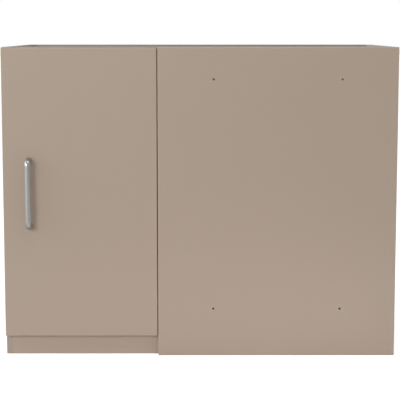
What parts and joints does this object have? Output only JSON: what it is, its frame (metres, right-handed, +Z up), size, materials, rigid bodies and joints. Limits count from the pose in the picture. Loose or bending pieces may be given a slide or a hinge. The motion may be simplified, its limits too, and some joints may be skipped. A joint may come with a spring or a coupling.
{
  "type": "kitchen base cabinet",
  "caption": "Blind-corner kitchen base cabinet with a hinged slab door and bow handle, a fixed blank panel, plinth, shelf and open top.",
  "frame": {"origin": "floor level, in the middle of the outline seen from above", "axes": "+X to the right seen from the front, +Y to the back, +Z up"},
  "size_m": [1, 0.612, 0.79],
  "materials": {
    "front_melamine": "satin taupe melamine",
    "front_edging": "satin plastic edging, taupe",
    "carcass_melamine": "satin taupe melamine",
    "carcass_edging": "satin plastic edging, taupe",
    "back_hardboard": "thin hardboard",
    "beech": "fluted beech",
    "zinc_fixing": "bright zinc plate",
    "hinge_steel": "nickel plate",
    "handle_metal": "satin nickel",
    "block_plastic": "moulded plastic",
    "stud_plastic": "moulded plastic",
    "buffer_plastic": "soft clear plastic"
  },
  "bodies": {
    "carcass": {"arm_screws": "zinc_fixing", "back_panel": "back_hardboard", "back_panel_nails": "zinc_fixing", "blank_panel": "front_melamine", "blank_panel_edging": "front_edging", "block_screws": "zinc_fixing", "bottom_panel": "carcass_melamine", "cam_bolts": "zinc_fixing", "cam_locks": "zinc_fixing", "carcass_edging": "carcass_edging", "centre_upright": "carcass_melamine", "dowels": "beech", "front_rail": "carcass_melamine", "hinge_arm_lower": "hinge_steel", "hinge_arm_upper": "hinge_steel", "left_side_panel": "carcass_melamine", "mounting_plate_lower": "hinge_steel", "mounting_plate_upper": "hinge_steel", "panel_blocks": "block_plastic", "plate_screws": "zinc_fixing", "plinth_blocks": "block_plastic", "plinth_board": "carcass_melamine", "plinth_screws": "zinc_fixing", "rear_rail": "carcass_melamine", "right_side_panel": "carcass_melamine", "shelf": "carcass_melamine", "shelf_edging": "carcass_edging", "shelf_supports": "stud_plastic"},
    "door": {"door_panel": "front_melamine", "door_edging": "front_edging", "handle": "handle_metal", "handle_screws": "zinc_fixing", "hinge_cup_upper": "hinge_steel", "hinge_cup_lower": "hinge_steel", "hinge_pin_upper": "hinge_steel", "hinge_pin_lower": "hinge_steel", "cup_screws": "zinc_fixing", "door_buffers": "buffer_plastic"}
  },
  "joints": [
    {"name": "door_swing", "type": "hinge", "parent": "carcass", "child": "door", "pos_m": [-0.1182, -0.2672, 0.421], "axis": [0, 0, 1], "range_deg": [0, 100]}
  ]
}
